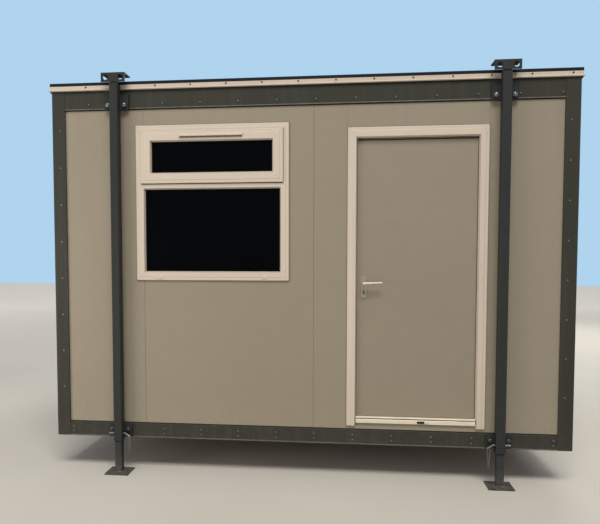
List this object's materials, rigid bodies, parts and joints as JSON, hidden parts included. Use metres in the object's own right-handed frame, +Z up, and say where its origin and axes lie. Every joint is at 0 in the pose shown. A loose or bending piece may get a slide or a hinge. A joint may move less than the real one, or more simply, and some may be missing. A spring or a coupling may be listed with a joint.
{
  "type": "portable site cabin",
  "caption": "Steel-framed portable site cabin on pinned jack legs, with composite panel walls, a flat roof, a window with a vent sash and an inward-opening door.",
  "frame": {"origin": "on the ground, under the centre of the cabin", "axes": "+X along the long side to the right as seen from the front, -Y out of the front with the door and window, +Z up"},
  "size_m": [3.688, 2.68, 2.845],
  "materials": {
    "wall_panel": "satin coated composite panel",
    "door_skin": "satin coated door skin",
    "dark_steel": "satin dark grey paint",
    "leg_steel": "satin dark blue-grey paint",
    "cream_trim": "satin cream paint",
    "roof_felt": "matt black membrane",
    "boarding": "plain boards",
    "window_plastic": "cream-white extruded plastic",
    "glass": "clear double glazing",
    "threshold_metal": "satin aluminium",
    "handle_metal": "satin aluminium",
    "hinge_metal": "bright steel",
    "galvanised": "galvanised steel"
  },
  "bodies": {
    "cabin": {"back_bottom_rail": "dark_steel", "back_left_post": "dark_steel", "back_right_post": "dark_steel", "back_roof_trim": "cream_trim", "back_top_rail": "dark_steel", "back_wall": "wall_panel", "door_frame": "window_plastic", "door_threshold": "threshold_metal", "floor_deck": "boarding", "floor_joists": "dark_steel", "front_bottom_rail": "dark_steel", "front_left_post": "dark_steel", "front_right_post": "dark_steel", "front_roof_trim": "cream_trim", "front_top_rail": "dark_steel", "front_wall_end_panel": "wall_panel", "front_wall_middle_panel": "wall_panel", "front_wall_over_door": "wall_panel", "front_wall_right_panel": "wall_panel", "front_wall_under_door": "wall_panel", "front_wall_window_panel": "wall_panel", "hinge_frame_sides": "hinge_metal", "left_bottom_rail": "dark_steel", "left_roof_trim": "cream_trim", "left_top_rail": "dark_steel", "left_wall": "wall_panel", "leg_bolts": "galvanised", "leg_head_brackets": "leg_steel", "leg_inner_tubes": "leg_steel", "leg_locking_pins": "galvanised", "leg_lower_plates": "leg_steel", "leg_outer_tubes": "leg_steel", "leg_pin_chains": "galvanised", "leg_upper_plates": "leg_steel", "lower_glass": "glass", "right_bottom_rail": "dark_steel", "right_roof_trim": "cream_trim", "right_top_rail": "dark_steel", "right_wall": "wall_panel", "roof_deck": "boarding", "roof_membrane": "roof_felt", "trickle_vent": "window_plastic", "upper_glass": "glass", "vent_sash": "window_plastic", "window_frame": "window_plastic"},
    "door": {"door_leaf": "door_skin", "handle_plates": "handle_metal", "hinge_leaf_sides": "hinge_metal", "lock_cylinder": "hinge_metal"},
    "lever": {"lever_handle": "handle_metal"}
  },
  "joints": [
    {"name": "door_hinge", "type": "hinge", "parent": "cabin", "child": "door", "pos_m": [1.197, -1.143, 1.4], "axis": [0, 0, -1], "range_deg": [0, 100]},
    {"name": "lever_turn", "type": "hinge", "parent": "door", "child": "lever", "pos_m": [0.416, -1.171, 1.378], "axis": [0, 1, 0], "range_deg": [0, 40], "stiffness_Nm_per_rad": 1.2, "springref_deg": -20.05}
  ]
}
